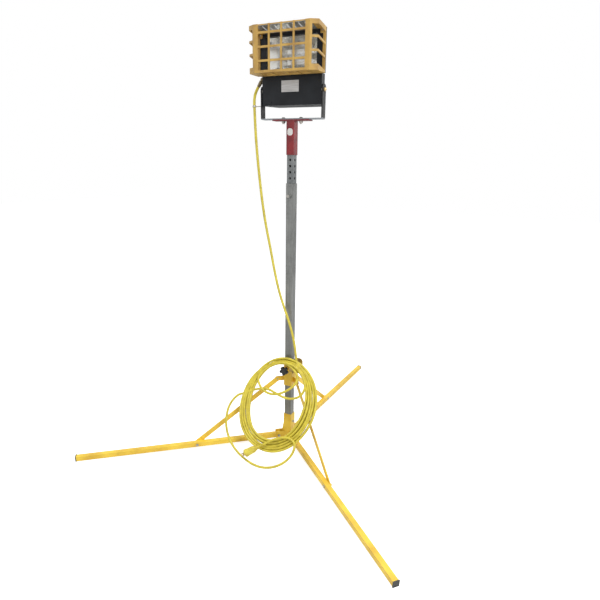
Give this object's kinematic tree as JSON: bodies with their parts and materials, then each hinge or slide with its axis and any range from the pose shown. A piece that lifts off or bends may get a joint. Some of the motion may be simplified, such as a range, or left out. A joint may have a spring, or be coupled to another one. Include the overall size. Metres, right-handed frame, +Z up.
{
  "type": "work light",
  "caption": "Caged floodlight on a telescoping square mast with three folding strutted legs, a tilting yoke and a coiled power cord hung on its collar.",
  "frame": {"origin": "on the floor, on the mast's axis, between the three feet", "axes": "+Z up along the mast, the lamp faces -Y and its width runs along X, the rear leg points along +Y"},
  "size_m": [1.6816, 1.8186, 1.924],
  "materials": {
    "galvanised_steel": "galvanised",
    "yellow_paint": "satin powder coat",
    "black_paint": "satin",
    "red_paint": "satin",
    "zinc_steel": "zinc plated",
    "black_plastic": "moulded",
    "white_label": "printed label, bare",
    "bright_aluminium": "polished sheet",
    "clear_glass": "clear",
    "grey_rubber": "matte",
    "yellow_rubber": "cord jacket",
    "olive_rubber": "matte",
    "lamination_steel": "varnished",
    "copper_winding": "varnished wire",
    "white_ceramic": "ceramic",
    "brass_plated": "plated"
  },
  "bodies": {
    "stand": {"mast_outer_tube": "galvanised_steel", "mast_foot_cap": "black_plastic", "lower_collar": "yellow_paint", "leg_pivot_bolts": "zinc_steel", "base_nuts": "zinc_steel", "collar_cross_bolt": "zinc_steel"},
    "lock_pin": {"lock_pin": "zinc_steel"},
    "sliding_collar": {"upper_collar": "yellow_paint", "strut_ear_bolts": "zinc_steel", "cord_hook": "yellow_paint", "power_cord": "yellow_rubber", "cord_coil": "yellow_rubber", "cord_tail": "yellow_rubber", "plug_body": "yellow_rubber", "plug_blades": "brass_plated"},
    "clamp_knob": {"star_knob": "black_plastic", "knob_stud": "zinc_steel"},
    "mast_extension": {"mast_inner_tube": "galvanised_steel", "mount_socket": "red_paint", "socket_label": "white_label", "yoke": "black_paint", "yoke_bolts": "zinc_steel", "yoke_nuts": "zinc_steel", "cord_clip": "zinc_steel"},
    "head": {"ballast_box": "black_paint", "ballast_cover": "black_paint", "case_screws": "zinc_steel", "blank_nameplate": "bright_aluminium", "ballast_core": "lamination_steel", "ballast_winding": "copper_winding", "capacitor": "zinc_steel", "igniter": "black_plastic", "terminal_block": "black_plastic", "tilt_spacers": "zinc_steel", "tilt_bolts": "brass_plated", "door_frame": "black_paint", "front_glass": "clear_glass", "glass_gasket": "grey_rubber", "lamp_housing": "black_paint", "housing_bolts": "zinc_steel", "reflector": "bright_aluminium", "lampholders": "white_ceramic", "halide_lamp": "clear_glass", "guard_cage": "yellow_paint", "heat_shield": "galvanised_steel", "cord_gland": "olive_rubber", "strain_relief": "olive_rubber"},
    "left_leg": {"left_leg": "yellow_paint", "left_leg_tip": "black_plastic", "left_strut_bolt": "zinc_steel"},
    "left_strut": {"left_strut": "yellow_paint"},
    "front_leg": {"front_leg": "yellow_paint", "front_leg_tip": "black_plastic", "front_strut_bolt": "zinc_steel"},
    "front_strut": {"front_strut": "yellow_paint"},
    "rear_leg": {"rear_leg": "yellow_paint", "rear_leg_tip": "black_plastic", "rear_strut_bolt": "zinc_steel"},
    "rear_strut": {"rear_strut": "yellow_paint"}
  },
  "joints": [
    {"name": "collar_slide", "type": "slide", "parent": "stand", "child": "sliding_collar", "axis": [0, 0, 1], "range_m": [0, 0.6572], "deforming": ["power_cord", "cord_coil", "cord_tail"]},
    {"name": "clamp_knob_turn", "type": "hinge", "parent": "sliding_collar", "child": "clamp_knob", "pos_m": [0, -0.061, 0.424], "axis": [0, -1, 0], "range_deg": [0, 720]},
    {"name": "mast_extend", "type": "slide", "parent": "stand", "child": "mast_extension", "axis": [0, 0, 1], "range_m": [-0.0762, 0.6096]},
    {"name": "lock_pin_push", "type": "slide", "parent": "stand", "child": "lock_pin", "axis": [0, 1, 0], "range_m": [0, 0.0065]},
    {"name": "head_tilt", "type": "hinge", "parent": "mast_extension", "child": "head", "pos_m": [0, 0, 1.699], "axis": [1, 0, 0], "range_deg": [-60, 90]},
    {"name": "left_leg_fold", "type": "hinge", "parent": "stand", "child": "left_leg", "pos_m": [-0.04556, -0.03905, 0.026], "axis": [-0.6508, 0.7593, 0], "range_deg": [0, 87.5]},
    {"name": "left_strut_swing", "type": "hinge", "parent": "sliding_collar", "child": "left_strut", "pos_m": [-0.04707, -0.04035, 0.355], "axis": [0.6508, -0.7593, 0], "range_deg": [0, 50.22]},
    {"name": "front_leg_fold", "type": "hinge", "parent": "stand", "child": "front_leg", "pos_m": [0.04556, -0.03905, 0.026], "axis": [-0.6508, -0.7593, 0], "range_deg": [0, 87.5]},
    {"name": "front_strut_swing", "type": "hinge", "parent": "sliding_collar", "child": "front_strut", "pos_m": [0.04707, -0.04035, 0.355], "axis": [0.6508, 0.7593, 0], "range_deg": [0, 50.22]},
    {"name": "rear_leg_fold", "type": "hinge", "parent": "stand", "child": "rear_leg", "pos_m": [0, 0.06, 0.026], "axis": [1, 0, 0], "range_deg": [0, 87.5]},
    {"name": "rear_strut_swing", "type": "hinge", "parent": "sliding_collar", "child": "rear_strut", "pos_m": [0, 0.062, 0.355], "axis": [-1, 0, 0], "range_deg": [0, 50.22]}
  ],
  "couplings": [
    {"joint": "left_leg_fold", "follows": "collar_slide", "rad_per_m": 2.3235},
    {"joint": "left_strut_swing", "follows": "collar_slide", "rad_per_m": 1.3331},
    {"joint": "front_leg_fold", "follows": "collar_slide", "rad_per_m": 2.3235},
    {"joint": "front_strut_swing", "follows": "collar_slide", "rad_per_m": 1.3331},
    {"joint": "rear_leg_fold", "follows": "collar_slide", "rad_per_m": 2.3235},
    {"joint": "rear_strut_swing", "follows": "collar_slide", "rad_per_m": 1.3331}
  ]
}
